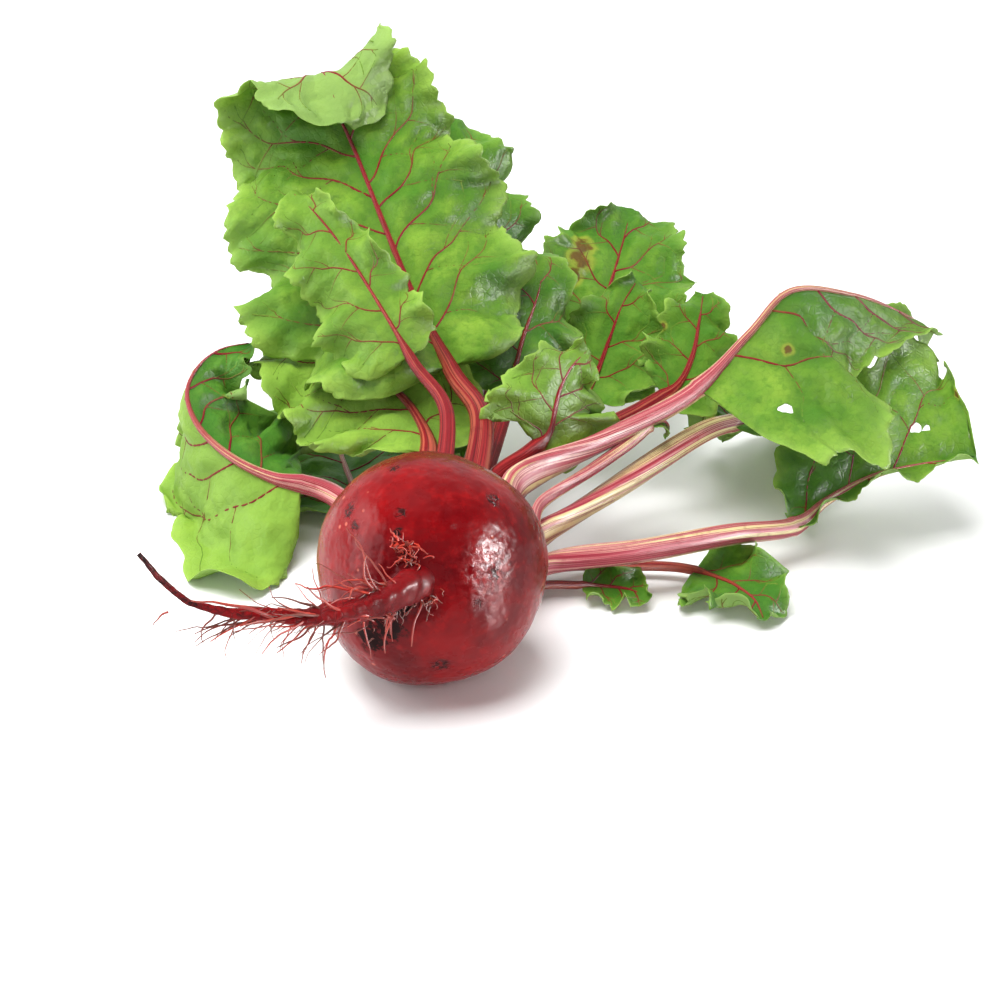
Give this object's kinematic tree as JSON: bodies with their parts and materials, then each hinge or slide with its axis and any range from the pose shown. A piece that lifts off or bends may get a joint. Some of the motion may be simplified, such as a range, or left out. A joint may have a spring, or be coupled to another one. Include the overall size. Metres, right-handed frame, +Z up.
{
  "type": "beetroot with its leafy tops",
  "caption": "A fresh beetroot lying on its side: a round red root with its tap root and side roots, and a fan of waved green leaves on red stalks.",
  "frame": {"origin": "middle of the small flat spot that the swollen root rests on", "axes": "+Z up from the resting surface, -Y the way the tap root points, +Y the way the leaves spread, +X to the right seen from the tap root"},
  "size_m": [0.2872, 0.2769, 0.1482],
  "materials": {
    "skin": "thin crimson skin, softly glossy, with a dull pinkish bloom and small scars",
    "stalk": "ribbed stalk, crimson to pink with cream stripes, glossy",
    "leaf": "bright green leaf with fine dark red veins, satin"
  },
  "bodies": {
    "root": {"root": "skin", "stalk_top": "stalk", "blade_top": "leaf", "stalk_left_high": "stalk", "blade_left_high": "leaf", "stalk_back": "stalk", "blade_back": "leaf", "stalk_centre": "stalk", "blade_centre": "leaf", "stalk_left_mid": "stalk", "blade_left_mid": "leaf", "stalk_left_fold": "stalk", "blade_left_fold": "leaf", "stalk_centre_back": "stalk", "blade_centre_back": "leaf", "stalk_curl": "stalk", "blade_curl": "leaf", "stalk_right_back": "stalk", "blade_right_back": "leaf", "stalk_front": "stalk", "blade_front": "leaf", "stalk_right_high": "stalk", "blade_right_high": "leaf", "stalk_right_mid": "stalk", "blade_right_mid": "leaf", "stalk_right_low": "stalk", "blade_right_low": "leaf", "stalk_young": "stalk", "blade_young": "leaf", "stalk_bud": "stalk", "blade_bud": "leaf", "stalk_hook": "stalk", "blade_hook": "leaf", "stalk_floor": "stalk", "blade_floor": "leaf"}
  },
  "joints": []
}
